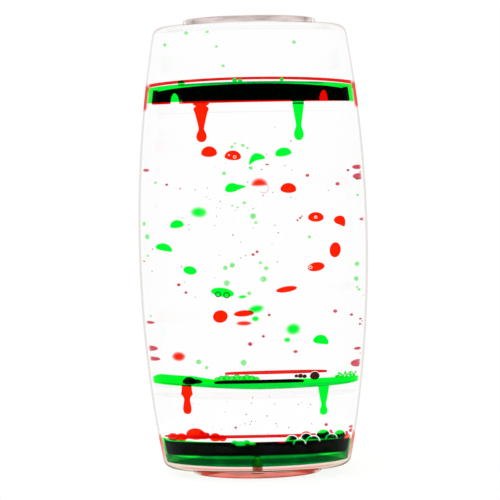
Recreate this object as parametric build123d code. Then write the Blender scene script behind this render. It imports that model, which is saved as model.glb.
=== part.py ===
from build123d import *
import math
import os

# A clear two-circuit liquid motion timer, in millimetres.
# X runs across the face, Y from front to back and Z up. The origin is under the middle of the base.

# Case: a barrel with elliptical sections, bulging in both views
case_height = 142.0
case_width = 72.0
case_depth = 38.0
end_width = 59.2
end_depth = 26.8
wall = 2.2
end_wall = 2.3
end_round = 2.4
partition_thickness = 1.6
barrel_sections = 7

# Foot ring on each end, so the timer stands either way up
foot_width = 41.0
foot_depth = 21.0
foot_height = 2.0
foot_wall = 2.0

# Shelves that close off the upper and lower reservoirs
shelf_inset = 26.0
shelf_thickness = 3.0
fill_film = 0.1

# Nozzles point into the middle chamber, vent cones point into the reservoirs
nozzle_offset = 13.7
nozzle_bore = 3.7
nozzle_tip_bore = 1.6
nozzle_wall = 0.6
nozzle_reach = 5.6
cone_offset = 20.0
cone_bore = 2.6
cone_tip_bore = 1.5
cone_wall = 0.5
cone_reach = 3.8
flange_overlap = 0.8
flange_thickness = 0.8
insert_clearance = 0.05

# Fill plugs in the base, one for each circuit
plug_diameter = 2.9
plug_reach = 2.2
plug_head_diameter = 4.4
plug_head_height = 0.8
plug_clearance = 0.04

# Ramps: a short flight with long steps, then a long flight back the other way
upper_steps = 3
lower_steps = 5
first_step_setback = 5.7
last_upper_wall_gap = 13.6
turn_wall_gap = 5.5
outlet_wall_gap = 18.05
landing_height = 13.6
outlet_height = 13.8
fall_ratio = 1.41
step_overlap = 0.5
step_slope = 10.0
step_thickness = 1.2

# Liquids
green_upper_depth = 5.2
red_upper_depth = 7.6
lower_pool_depth = 2.2
bottom_pool_depth = 7.2
drip_film = 0.1
upper_bead_diameter = 3.1
lower_bead_diameter = 2.6
bead_sink = 0.8
dome_foot = 0.6
drop_waist = 0.42
drop_film = 0.15
travel_clearance = 0.3

# Green drops on the ramps: step, share of the way down it, radius, height, way back, way ahead.
# The ways are shares of the step's length.
green_sliding = {
    "green_drop_1": (0, 0.425, 2.35, 2.6, 0.233, 0.082),
    "green_drop_2": (0, 0.959, 2.3, 2.3, 0.089, 0.055),
    "green_drop_3": (1, 0.486, 2.2, 2.4, 0.301, 0.466),
    "green_drop_5": (2, 0.651, 2.2, 2.6, 0.096, 0.301),
    "green_drop_6": (3, 0.643, 2.3, 2.4, 0.052, 0.313),
    "green_drop_7": (4, 0.374, 2.1, 2.2, 0.156, 0.608),
    "green_drop_8": (5, 0.243, 2.9, 2.3, 0.035, 0.261),
    "green_drop_9": (5, 0.721, 1.3, 1.6, 0.035, 0.261),
    "green_drop_12": (7, 0.790, 2.2, 2.5, 0.104, 0.191),
}
# Red drops on the ramps
red_sliding = {
    "red_drop_1": (0, 0.226, 2.35, 2.7, 0.027, 0.082),
    "red_drop_2": (0, 0.678, 2.5, 2.9, 0.000, 0.301),
    "red_drop_3": (1, 0.219, 2.5, 2.4, 0.027, 0.082),
    "red_drop_4": (1, 0.753, 2.35, 2.7, 0.055, 0.205),
    "red_drop_5": (2, 0.288, 2.35, 2.8, 0.068, 0.055),
    "red_drop_6": (2, 0.726, 2.1, 2.9, 0.041, 0.192),
    "red_drop_8": (4, 0.599, 2.4, 2.6, 0.000, 0.382),
    "red_drop_9": (5, 0.295, 3.0, 1.8, 0.035, 0.678),
    "red_drop_10": (6, 0.417, 2.5, 1.7, 0.200, 0.061),
    "red_drop_11": (6, 0.955, 2.1, 3.2, 0.043, 0.087),
}
# Drops falling past the lower end of a step: step, share of the room below its edge, radius, height,
# way back as a share of that room, way ahead as a share of the room left under the drop.
green_falling = {
    "green_drop_4": (1, 0.600, 2.3, 3.0, 0.339, 0.764),
    "green_drop_10": (5, 0.363, 2.1, 3.0, 0.229, 0.544),
    "green_drop_11": (6, 0.172, 2.2, 3.2, 0.115, 0.584),
}
red_falling = {
    "red_drop_7": (3, 0.115, 1.6, 4.8, 0.153, 0.313),
    "red_drop_12": (7, 0.226, 2.0, 3.2, 0.151, 0.697),
}
# Drops that move as one, the smaller drawn along by the larger
companions = {"green_drop_9": "green_drop_8"}

# Small suspended droplets: chamber, share across, share of depth behind the ramps, share up, radius
green_scatter = [
    ("top", -0.86, 0.5, 0.52, 0.7),
    ("top", -0.62, 0.4, 0.84, 0.6),
    ("top", -0.40, 0.6, 0.80, 0.5),
    ("top", -0.30, 0.3, 0.55, 0.7),
    ("top", 0.46, 0.5, 0.60, 0.6),
    ("middle", -0.16, 0.5, 0.78, 0.5),
    ("middle", 0.08, 0.6, 0.62, 0.7),
    ("middle", -0.08, 0.4, 0.42, 0.6),
    ("middle", 0.26, 0.5, 0.50, 0.5),
    ("middle", 0.44, 0.4, 0.30, 0.6),
    ("middle", -0.46, 0.5, 0.20, 0.5),
    ("middle", 0.02, 0.6, 0.24, 0.8),
]
red_scatter = [
    ("top", -0.18, 0.5, 0.70, 0.5),
    ("top", 0.30, 0.4, 0.45, 0.5),
    ("middle", -0.52, 0.5, 0.88, 0.6),
    ("middle", 0.50, 0.4, 0.80, 0.7),
    ("middle", 0.34, 0.5, 0.66, 0.5),
    ("middle", -0.24, 0.6, 0.70, 0.6),
    ("middle", -0.56, 0.5, 0.58, 0.6),
    ("middle", 0.10, 0.5, 0.36, 0.5),
    ("middle", -0.40, 0.4, 0.34, 0.7),
    ("middle", -0.58, 0.5, 0.16, 0.6),
    ("middle", 0.54, 0.5, 0.14, 0.6),
    ("middle", 0.20, 0.6, 0.10, 0.5),
]

# Heights that follow from the sizes above
mid_height = case_height / 2
barrel_low = foot_height
barrel_high = case_height - foot_height
floor_height = barrel_low + end_wall
ceiling_height = barrel_high - end_wall
lower_shelf_low = shelf_inset
lower_shelf_high = shelf_inset + shelf_thickness
upper_shelf_low = case_height - lower_shelf_high
upper_shelf_high = case_height - lower_shelf_low
lower_level = lower_shelf_high + lower_pool_depth
bottom_level = floor_height + bottom_pool_depth
half_partition = partition_thickness / 2
fill_inset = wall + fill_film


def bulge(height, middle_half, end_half):
    reach = mid_height - barrel_low
    sag = middle_half - end_half
    radius = (reach ** 2 + sag ** 2) / (2 * sag)
    return middle_half - radius + math.sqrt(radius ** 2 - (height - mid_height) ** 2)


def half_width(height):
    return bulge(height, case_width / 2, end_width / 2)


def half_depth(height):
    return bulge(height, case_depth / 2, end_depth / 2)


def wall_depth(across, height):
    # depth of the filled space in front of the middle plane, at a place across the face
    share = across / (half_width(height) - fill_inset)
    return (half_depth(height) - fill_inset) * math.sqrt(1 - share ** 2)


def barrel(inset, low, high):
    sections = []
    for index in range(barrel_sections):
        height = low + (high - low) * index / (barrel_sections - 1)
        outline = Ellipse(half_width(height) - inset, half_depth(height) - inset)
        sections.append(Pos(0, 0, height) * outline)
    return loft(sections)


def slab(low, high):
    return Pos(0, 0, (low + high) / 2) * Box(2 * case_width, 2 * case_depth, high - low)


def half_space(side):
    # side is -1 for the front half and 1 for the rear half
    offset = side * (case_depth + half_partition)
    return Pos(0, offset, mid_height) * Box(2 * case_width, 2 * case_depth, 2 * case_height)


def turned(points, x, y):
    # a solid of revolution about a vertical line, from an outline of radius and height
    outline = make_face(Polyline(*[(radius, 0, height) for radius, height in points], close=True))
    return Pos(x, y, 0) * revolve(outline, Axis.Z)


# The middle of the flow lies midway between the partition and the wall at the cones
flow_offset = (half_partition + wall_depth(cone_offset, upper_shelf_high)) / 2
ramp_depth = 2 * (flow_offset - half_partition)
# The plugs stand midway between the partition and the foot ring
plug_offset = (half_partition + foot_depth / 2 - foot_wall) / 2


# Outer form with its foot rings, and the space inside it
body = barrel(0, barrel_low, barrel_high)
end_edges = body.edges().group_by(Axis.Z)[0] + body.edges().group_by(Axis.Z)[-1]
body = fillet(end_edges, end_round)
foot_outside = Ellipse(foot_width / 2, foot_depth / 2)
foot_inside = Ellipse(foot_width / 2 - foot_wall, foot_depth / 2 - foot_wall)
foot = foot_outside - foot_inside
lower_foot = extrude(foot, foot_height + end_wall / 2)
upper_foot = Pos(0, 0, case_height - foot_height - end_wall / 2) * lower_foot
outer_form = body + lower_foot + upper_foot
cavity = barrel(wall, floor_height, ceiling_height)
fill_space = barrel(fill_inset, floor_height, ceiling_height)
fill = {-1: fill_space & half_space(-1), 1: fill_space & half_space(1)}

plug_hole = Pos(0, 0, floor_height / 2) * Cylinder(plug_diameter / 2 + plug_clearance, 2 * floor_height)


def shell(side):
    plug_place = Pos(0, side * plug_offset, 0)
    return ((outer_form - cavity) & half_space(side)) - plug_place * plug_hole


middle_slice = Pos(0, 0, mid_height) * Box(2 * case_width, partition_thickness, 2 * case_height)
centre_partition = outer_form & middle_slice


def nozzle_outline(solid_core):
    # outline of the upper nozzle; a solid core also takes up the bore
    bore = nozzle_bore / 2
    tip = nozzle_tip_bore / 2
    tip_height = upper_shelf_low - nozzle_reach
    top = upper_shelf_high + flange_thickness
    flange = bore + nozzle_wall + flange_overlap
    outside = [
        (tip + nozzle_wall, tip_height),
        (bore + nozzle_wall, upper_shelf_low),
        (bore + nozzle_wall, upper_shelf_high),
        (flange, upper_shelf_high),
        (flange, top),
    ]
    if solid_core:
        return [(0, tip_height)] + outside + [(0, top)]
    return outside + [(bore, top), (bore, upper_shelf_low), (tip, tip_height)]


def cone_outline(solid_core):
    bore = cone_bore / 2
    tip = cone_tip_bore / 2
    tip_height = upper_shelf_high + cone_reach
    flange = bore + cone_wall + flange_overlap
    outside = [
        (bore + cone_wall, upper_shelf_low),
        (bore + cone_wall, upper_shelf_high),
        (flange, upper_shelf_high),
        (flange, upper_shelf_high + flange_thickness),
        (bore + cone_wall, upper_shelf_high + flange_thickness),
        (tip + cone_wall, tip_height),
    ]
    if solid_core:
        return [(0, upper_shelf_low)] + outside + [(0, tip_height)]
    return outside + [(tip, tip_height), (bore, upper_shelf_high), (bore, upper_shelf_low)]


def upside_down(outline):
    return [(radius, case_height - height) for radius, height in outline]


def insert_place(side, offset):
    # green runs down on the right at the front, red on the left at the rear
    return (-side * offset, side * flow_offset)


def shelf(side, low, high):
    plate = fill[side] & slab(low, high)
    inserts = ((nozzle_offset, nozzle_bore, nozzle_wall), (cone_offset, cone_bore, cone_wall))
    for offset, bore, rim in inserts:
        x, y = insert_place(side, offset)
        hole = Cylinder(bore / 2 + rim + insert_clearance, 4 * shelf_thickness)
        plate = plate - Pos(x, y, (low + high) / 2) * hole
    return plate


def shelf_block(side, low, high, offset, bore):
    # the shelf with its inserts in place, open only at the bore that holds oil
    x, y = insert_place(side, offset)
    hole = Cylinder(bore / 2, 4 * shelf_thickness)
    return (fill[side] & slab(low, high)) - Pos(x, y, (low + high) / 2) * hole


def plug(side):
    head_top = barrel_low
    outline = [
        (0, head_top - plug_head_height),
        (plug_head_diameter / 2, head_top - plug_head_height),
        (plug_head_diameter / 2, head_top),
        (plug_diameter / 2, head_top),
        (plug_diameter / 2, floor_height),
        (plug_diameter / 4, floor_height + plug_reach),
        (0, floor_height + plug_reach),
    ]
    return turned(outline, 0, side * plug_offset)


# Ramp places: centre of the top face across and up, and the way down, for the front circuit
inner_half_width = case_width / 2 - wall
first_across = nozzle_offset - first_step_setback
last_upper_across = -(inner_half_width - last_upper_wall_gap)
turn_across = -(inner_half_width - turn_wall_gap)
upper_pitch = (first_across - last_upper_across) / (upper_steps - 1)
last_across = inner_half_width - outlet_wall_gap
lower_pitch = (last_across - turn_across) / (lower_steps - 1)
first_height = upper_shelf_low - landing_height
last_height = lower_shelf_high + outlet_height
lower_fall = (first_height - last_height) / (fall_ratio * (upper_steps - 1) + lower_steps)
upper_fall = fall_ratio * lower_fall
ramps = []
for index in range(upper_steps):
    across = first_across - index * upper_pitch
    height = first_height - index * upper_fall
    ramps.append((across, height, upper_pitch + step_overlap, -1))
turn_height = ramps[-1][1] - lower_fall
for index in range(lower_steps):
    across = turn_across + index * lower_pitch
    height = turn_height - index * lower_fall
    ramps.append((across, height, lower_pitch + step_overlap, 1))


def ramp_plane(side, step):
    # a plane on the ramp's top face at its upper end, with X running down the slope
    across, height, length, way = ramps[step]
    across = -side * across
    way = -side * way
    slope = math.radians(step_slope)
    down = Vector(way * math.cos(slope), 0, -math.sin(slope))
    normal = Vector(way * math.sin(slope), 0, math.cos(slope))
    start = Vector(across, side * flow_offset, height) - down * (length / 2)
    return Plane(origin=start, x_dir=down, z_dir=normal)


def end_rise(step):
    # height of a ramp's upper end over its middle
    return ramps[step][2] / 2 * math.sin(math.radians(step_slope))


def room_below(step):
    # free height under the lower edge of a ramp, down to the next ramp or to the lower pool
    edge = ramps[step][1] - end_rise(step)
    if step + 1 == len(ramps):
        return edge - lower_level
    return edge - ramps[step + 1][1] - end_rise(step + 1)


def ramp(side, step):
    length = ramps[step][2]
    plate = Pos(length / 2, 0, -step_thickness / 2) * Box(length, ramp_depth, step_thickness)
    return ramp_plane(side, step) * plate & fill[side]


def dome(radius, height):
    # a drop resting on a ramp: flat underneath, round above
    foot_radius = dome_foot * radius
    waist = drop_waist * height
    below = Bezier((foot_radius, 0, 0), (radius, 0, 0), (radius, 0, waist))
    above = Bezier((radius, 0, waist), (radius, 0, height), (0, 0, height))
    closing = Polyline((0, 0, height), (0, 0, 0), (foot_radius, 0, 0))
    return revolve(make_face([below, above, closing]), Axis.Z)


def pear(radius, height):
    # a falling drop, round below and drawn out above
    belly = drop_waist * height
    below = Bezier((0, 0, 0), (radius, 0, 0), (radius, 0, belly))
    above = Bezier((radius, 0, belly), (radius, 0, height), (0, 0, height))
    closing = Line((0, 0, height), (0, 0, 0))
    return revolve(make_face([below, above, closing]), Axis.Z)


def sliding_drop(side, sizes):
    step, share, radius, height, back_share, ahead_share = sizes
    length = ramps[step][2]
    along = share * length
    back = back_share * length
    ahead = ahead_share * length
    plane = ramp_plane(side, step)
    drop = plane * Pos(along, 0, drop_film) * dome(radius, height)
    sweep_radius = radius + travel_clearance
    outline = SlotCenterToCenter(back + ahead, 2 * sweep_radius)
    middle = along + (ahead - back) / 2
    channel = extrude(Pos(middle, 0, 0) * outline, height + drop_film + travel_clearance)
    return drop, plane * channel, plane.x_dir, back, ahead


def falling_drop(side, sizes):
    step, share, radius, height, back_share, ahead_share = sizes
    room = room_below(step)
    below = share * room
    back = back_share * room
    ahead = ahead_share * (room - below - height / 2)
    edge = ramp_plane(side, step) * Pos(ramps[step][2], 0, 0)
    way = -side * ramps[step][3]
    x = edge.position.X + way * (radius + travel_clearance)
    z = edge.position.Z - below - height / 2
    drop = Pos(x, side * flow_offset, z) * pear(radius, height)
    channel_height = back + ahead + height + 2 * travel_clearance
    channel = Cylinder(radius + travel_clearance, channel_height)
    channel_middle = z + height / 2 + (back - ahead) / 2
    return drop, Pos(x, side * flow_offset, channel_middle) * channel, Vector(0, 0, -1), back, ahead


def droplet(side, place, chambers):
    chamber, across_share, depth_share, up_share, radius = place
    low, high = chambers[chamber]
    height = low + up_share * (high - low)
    across = across_share * (half_width(height) - fill_inset)
    behind = half_partition + ramp_depth + travel_clearance
    reach = wall_depth(across, height)
    depth = behind + depth_share * (reach - behind)
    if chamber == "top":
        depth = half_partition + depth_share * (reach - half_partition)
    return Pos(across, side * depth, height) * Sphere(radius)


def pool(side, low, high, cutters):
    liquid = fill[side] & slab(low, high)
    for cutter in cutters:
        liquid = liquid - cutter
    return liquid


def upper_drip(x, y):
    # dye standing in the upper nozzle, with a bead hanging from its tip
    bore = nozzle_bore / 2 - drip_film
    tip = nozzle_tip_bore / 2 - drip_film
    tip_height = upper_shelf_low - nozzle_reach
    column = [(0, tip_height), (tip, tip_height), (bore, upper_shelf_low)]
    column += [(bore, upper_shelf_high + flange_thickness), (0, upper_shelf_high + flange_thickness)]
    bead_radius = upper_bead_diameter / 2
    bead = Pos(x, y, tip_height - bead_sink * bead_radius) * Sphere(bead_radius)
    return turned(column, x, y) + (bead & slab(0, tip_height))


def lower_drip(x, y):
    # dye standing in the lower cone, with a bead hanging from its tip
    bore = cone_bore / 2 - drip_film
    tip = cone_tip_bore / 2 - drip_film
    tip_height = lower_shelf_low - cone_reach
    column = [(0, tip_height), (tip, tip_height), (bore, lower_shelf_low)]
    column += [(bore, lower_shelf_high), (0, lower_shelf_high)]
    bead_radius = lower_bead_diameter / 2
    bead = Pos(x, y, tip_height - bead_sink * bead_radius) * Sphere(bead_radius)
    return turned(column, x, y) + (bead & slab(0, tip_height))


parts = {
    "front_shell": shell(-1),
    "rear_shell": shell(1),
    "centre_partition": centre_partition,
}

circuits = (
    ("front", "green", -1, green_upper_depth, green_sliding, green_falling, green_scatter),
    ("rear", "red", 1, red_upper_depth, red_sliding, red_falling, red_scatter),
)
for place, dye, side, upper_depth, sliding, falling, scatter in circuits:
    upper_level = upper_shelf_high + upper_depth
    chambers = {
        "top": (upper_level, ceiling_height),
        "middle": (lower_level, upper_shelf_low),
    }
    nozzle_x, flow_y = insert_place(side, nozzle_offset)
    cone_x = insert_place(side, cone_offset)[0]
    nozzle_core = turned(nozzle_outline(True), nozzle_x, flow_y)
    cone_core = turned(cone_outline(True), cone_x, flow_y)
    lower_nozzle_core = turned(upside_down(nozzle_outline(True)), nozzle_x, flow_y)
    lower_cone_core = turned(upside_down(cone_outline(True)), cone_x, flow_y)
    fixed = {
        f"{place}_upper_shelf": shelf(side, upper_shelf_low, upper_shelf_high),
        f"{place}_lower_shelf": shelf(side, lower_shelf_low, lower_shelf_high),
        f"{place}_upper_nozzle": turned(nozzle_outline(False), nozzle_x, flow_y),
        f"{place}_lower_nozzle": turned(upside_down(nozzle_outline(False)), nozzle_x, flow_y),
        f"{place}_upper_cone": turned(cone_outline(False), cone_x, flow_y),
        f"{place}_lower_cone": turned(upside_down(cone_outline(False)), cone_x, flow_y),
        f"{place}_fill_plug": plug(side),
        f"{place}_ramps": Compound([ramp(side, step).solid() for step in range(len(ramps))]),
        f"{dye}_upper_pool": pool(side, upper_shelf_high, upper_level, [nozzle_core, cone_core]),
        f"{dye}_lower_pool": pool(side, lower_shelf_high, lower_level, [lower_nozzle_core]),
        f"{dye}_bottom_pool": pool(side, floor_height, bottom_level, [plug(side)]),
        f"{dye}_upper_drip": upper_drip(nozzle_x, flow_y),
        f"{dye}_lower_drip": lower_drip(cone_x, flow_y),
        f"{dye}_droplets": Compound([droplet(side, item, chambers) for item in scatter]),
    }
    parts.update(fixed)

    # The oil fills what is left, and leaves free the way of each drop
    taken = list(fixed.values()) + [nozzle_core, lower_cone_core]
    taken.append(shelf_block(side, upper_shelf_low, upper_shelf_high, cone_offset, cone_bore))
    taken.append(shelf_block(side, lower_shelf_low, lower_shelf_high, nozzle_offset, nozzle_bore))
    for make_drop, rows in ((sliding_drop, sliding), (falling_drop, falling)):
        for name, sizes in rows.items():
            drop, channel, way, back, ahead = make_drop(side, sizes)
            parts[name] = drop
            taken.append(channel)
            axis = f"{way.X:.6f} {way.Y:.6f} {way.Z:.6f}"
            print(f"joint {name} axis {axis} range {-back:.3f} {ahead:.3f}")
    parts[f"{place}_clear_oil"] = fill[side].cut(*taken)

for small, large in companions.items():
    print(f"companion {small} {large}")

os.makedirs("parts", exist_ok=True)
for name, solid in parts.items():
    export_step(solid, f"parts/{name}.step")
print(f"{len(parts)} parts written")
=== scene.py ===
import math
import random
import bmesh
import bpy
from mathutils import Matrix, Vector


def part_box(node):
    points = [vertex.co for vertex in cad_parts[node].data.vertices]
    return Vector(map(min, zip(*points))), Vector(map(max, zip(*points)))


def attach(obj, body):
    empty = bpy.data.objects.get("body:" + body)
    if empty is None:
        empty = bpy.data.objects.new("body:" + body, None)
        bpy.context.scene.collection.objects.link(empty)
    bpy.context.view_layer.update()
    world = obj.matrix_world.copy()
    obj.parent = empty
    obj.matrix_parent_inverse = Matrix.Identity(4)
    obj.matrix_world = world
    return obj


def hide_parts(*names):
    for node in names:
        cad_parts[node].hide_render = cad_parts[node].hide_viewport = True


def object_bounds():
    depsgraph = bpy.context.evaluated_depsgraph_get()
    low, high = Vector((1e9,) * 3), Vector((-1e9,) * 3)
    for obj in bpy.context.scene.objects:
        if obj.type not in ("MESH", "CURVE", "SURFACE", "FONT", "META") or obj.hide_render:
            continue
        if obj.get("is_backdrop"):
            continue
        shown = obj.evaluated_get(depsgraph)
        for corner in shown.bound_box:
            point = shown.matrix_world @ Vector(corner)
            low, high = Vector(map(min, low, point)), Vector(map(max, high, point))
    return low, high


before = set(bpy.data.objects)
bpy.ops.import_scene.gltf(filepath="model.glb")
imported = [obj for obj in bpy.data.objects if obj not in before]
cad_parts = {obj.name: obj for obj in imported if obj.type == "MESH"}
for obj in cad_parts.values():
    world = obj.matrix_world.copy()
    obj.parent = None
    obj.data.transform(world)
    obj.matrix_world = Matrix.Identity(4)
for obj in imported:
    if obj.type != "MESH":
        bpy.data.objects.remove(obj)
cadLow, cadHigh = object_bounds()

# all sizes here are in millimetres, meshes are scaled down when they are stored
mm = 0.001
white = (1, 1, 1, 1)

caseShape = {
    "height": cadHigh.z / mm, "halfWidth": cadHigh.x / mm, "halfDepth": cadHigh.y / mm,
    "endHalfWidth": 29.6, "endHalfDepth": 13.4, "endRound": 2.4, "endSteps": 8,
    "footHeight": 2.0, "footHalfWidth": 20.5, "footHalfDepth": 10.5, "footWall": 2.0,
    "wall": 2.2, "endWall": 2.3, "halfPlate": 0.8, "plateGap": 0.01, "segments": 144, "levels": 44,
}
caseShape["floor"] = caseShape["footHeight"] + caseShape["endWall"]
caseShape["ceiling"] = caseShape["height"] - caseShape["floor"]


def setAll(item, **values):
    for key, value in values.items():
        setattr(item, key, value)
    return item


# node helpers

# a socket takes a value, or a link as a node and the name of its output
def setSockets(tree, node, sockets):
    for key, value in sockets.items():
        if isinstance(value, tuple) and isinstance(value[0], bpy.types.Node):
            tree.links.new(value[0].outputs[value[1]], node.inputs[key])
        else:
            node.inputs[key].default_value = value
    return node


# nodes are laid out in rows
nodeGrid = {"columns": 8, "left": -1700, "across": 220, "down": -300}


def addNode(tree, kind, sockets={}, **values):
    row, column = divmod(len(tree.nodes), nodeGrid["columns"])
    place = (nodeGrid["left"] + column * nodeGrid["across"], row * nodeGrid["down"])
    node = setAll(tree.nodes.new("ShaderNode" + kind), location=place, **values)
    return setSockets(tree, node, sockets)


# these give the link to their result
def mathNode(tree, operation, *inputs):
    return addNode(tree, "Math", dict(enumerate(inputs)), operation=operation), "Value"


def rangeNode(tree, value, low=0.0, high=1.0, start=0.0, end=1.0, ease="LINEAR"):
    sockets = {"Value": value, "From Min": low, "From Max": high, "To Min": start, "To Max": end}
    return addNode(tree, "MapRange", sockets, interpolation_type=ease), "Result"


def mixNode(tree, share, first, second, blend="MIX"):
    sockets = {"Factor": share, "A": first, "B": second}
    return addNode(tree, "Mix", sockets, data_type="RGBA", blend_type=blend), "Result"


def newGroup(name, inputs, outputs):
    group = bpy.data.node_groups.new(name, "ShaderNodeTree")
    for label, kind, value in inputs:
        socket = group.interface.new_socket(label, in_out="INPUT", socket_type="NodeSocket" + kind)
        socket.default_value = value
    for label, kind in outputs:
        group.interface.new_socket(label, in_out="OUTPUT", socket_type="NodeSocket" + kind)
    inside, outside = group.nodes.new("NodeGroupInput"), group.nodes.new("NodeGroupOutput")
    inside.location, outside.location = (-2000, 0), (200, 0)
    return group, inside, outside


def useGroup(tree, group, **sockets):
    return addNode(tree, "Group", sockets, node_tree=group)


# slow clouding of a clear moulding, as a tint close to white and a small height
def mouldGrainGroup():
    group, inside, outside = newGroup("mouldGrain", [("Scale", "Float", 60.0), ("Depth", "Float", 0.02)],
                                      [("Tint", "Color"), ("Height", "Float")])
    coord = addNode(group, "TexCoord")
    cloud = addNode(group, "TexNoise", {"Vector": (coord, "Object"), "Scale": (inside, "Scale"),
                                        "Detail": 3.0})
    drop = mathNode(group, "SUBTRACT", 1.0, (inside, "Depth"))
    tone = rangeNode(group, (cloud, "Fac"), 0.3, 0.7, 1.0, drop)
    grey = addNode(group, "CombineColor", {channel: tone for channel in ("Red", "Green", "Blue")})
    setSockets(group, outside, {"Tint": (grey, "Color"), "Height": (cloud, "Fac")})
    return group


# uneven strength of a dye, mixing its deep tone with its thin tone
def dyeBodyGroup():
    group, inside, outside = newGroup("dyeBody", [("Deep", "Color", white), ("Thin", "Color", white),
                                                  ("Scale", "Float", 300.0)], [("Tone", "Color")])
    coord = addNode(group, "TexCoord")
    swirl = addNode(group, "TexNoise", {"Vector": (coord, "Object"), "Scale": (inside, "Scale"),
                                        "Detail": 2.0, "Distortion": 0.8})
    reach = rangeNode(group, (swirl, "Fac"), 0.42, 0.72)
    mix = mixNode(group, reach, (inside, "Deep"), (inside, "Thin"))
    setSockets(group, outside, {"Tone": mix})
    return group


mouldGrain = mouldGrainGroup()
dyeBody = dyeBodyGroup()
clearSockets = {"IOR": 1.0, "Transmission Weight": 1.0, "Roughness": 0.0}


def newMaterial(name, sockets):
    material = bpy.data.materials.new(name)
    material.use_nodes = True
    tree = material.node_tree
    return material, tree, setSockets(tree, tree.nodes["Principled BSDF"], sockets)


# the surface goes from one shader to another
def mixSurface(tree, share, first, second):
    mix = addNode(tree, "MixShader", {"Fac": share, 1: (first, 0), 2: (second, 0)})
    setSockets(tree, tree.nodes["Material Output"], {"Surface": (mix, 0)})


# clear plastic or oil: the tint gathers where a face is seen edge-on, as painted shade lines along the edges
# of the clear parts
def clearMaterial(name, edge, start, depth, scale=60.0, cad=False):
    material, tree, shader = newMaterial(name, clearSockets)
    grain = useGroup(tree, mouldGrain, Scale=scale, Depth=depth)
    rim = addNode(tree, "LayerWeight", {"Blend": 0.5})
    ramp = addNode(tree, "ValToRGB", {"Fac": (rim, "Facing")})
    first, last = ramp.color_ramp.elements
    first.position, first.color, last.color = start, white, (*edge, 1)
    tint = mixNode(tree, 1.0, (grain, "Tint"), (ramp, "Color"), "MULTIPLY")
    setSockets(tree, shader, {"Base Color": tint})
    # CAD faces are smooth all over, so their true normals are used
    if cad:
        face = addNode(tree, "NewGeometry")
        for node in (rim, shader):
            setSockets(tree, node, {"Normal": (face, "True Normal")})
    return material


# case tints by height in mm: the face ones are for the middle of the width, the side ones for its ends, and
# both colour the foot rings only, as painted reflection of the dyes at the foot and painted shade on the top
# ring. the edge ones paint the edge line: painted shade, darkest at the foot as a painted contact shadow, and
# painted reflection of the pools at their heights, with how far round the tint starts
caseLook = {
    "face": [(0.0, (0.84, 0.24, 0.19)), (2.2, (0.86, 0.28, 0.23)), (4.3, (0.88, 0.36, 0.3)), (4.9, (1, 1, 1)),
             (139.4, (1, 1, 1)), (140.2, (0.92, 0.86, 0.85)), (142.0, (0.86, 0.77, 0.75))],
    "side": [(0.0, (0.66, 0.43, 0.31)), (4.4, (0.74, 0.49, 0.36)), (5.8, (1, 1, 1)), (137.4, (1, 1, 1)),
             (139.0, (0.95, 0.91, 0.9)), (142.0, (0.9, 0.83, 0.81))],
    "edge": [(0.0, (0.22, 0.2, 0.14), 0.62), (2.6, (0.26, 0.23, 0.16), 0.6), (4.2, (0.8, 0.6, 0.5), 0.5),
             (5.4, (0.86, 0.46, 0.4), 0.44), (8.0, (0.86, 0.34, 0.3), 0.44), (11.6, (0.84, 0.16, 0.13), 0.46),
             (12.8, (0.8, 0.76, 0.73), 0.58), (114.4, (0.8, 0.76, 0.73), 0.58),
             (115.2, (0.84, 0.09, 0.07), 0.48), (122.0, (0.84, 0.09, 0.07), 0.48),
             (122.8, (0.82, 0.78, 0.76), 0.58), (136.5, (0.82, 0.78, 0.76), 0.58),
             (139.5, (0.76, 0.69, 0.67), 0.54)],
    # painted shade: the tone of the edge line at the ends of the width
    "plainEdge": (0.8, 0.76, 0.73, 1), "lineWidth": 0.14, "ends": (15 * mm, 25 * mm), "ringHeight": 2.6,
    "streaks": (110, 110, 1500), "streakTone": (0.46, 0.62, 1.0, 0.74),
    "outwards": 0.36, "plain": (0.5, 0.62),
}


def heightRamp(tree, height, stops):
    node = addNode(tree, "ValToRGB", {"Fac": height})
    ramp = node.color_ramp
    while len(ramp.elements) < len(stops):
        ramp.elements.new(1.0)
    for element, (up, tone, *width) in zip(ramp.elements, stops):
        element.position = up / caseShape["height"]
        element.color = (*tone, *width, 1)[:4]
    return node
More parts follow.
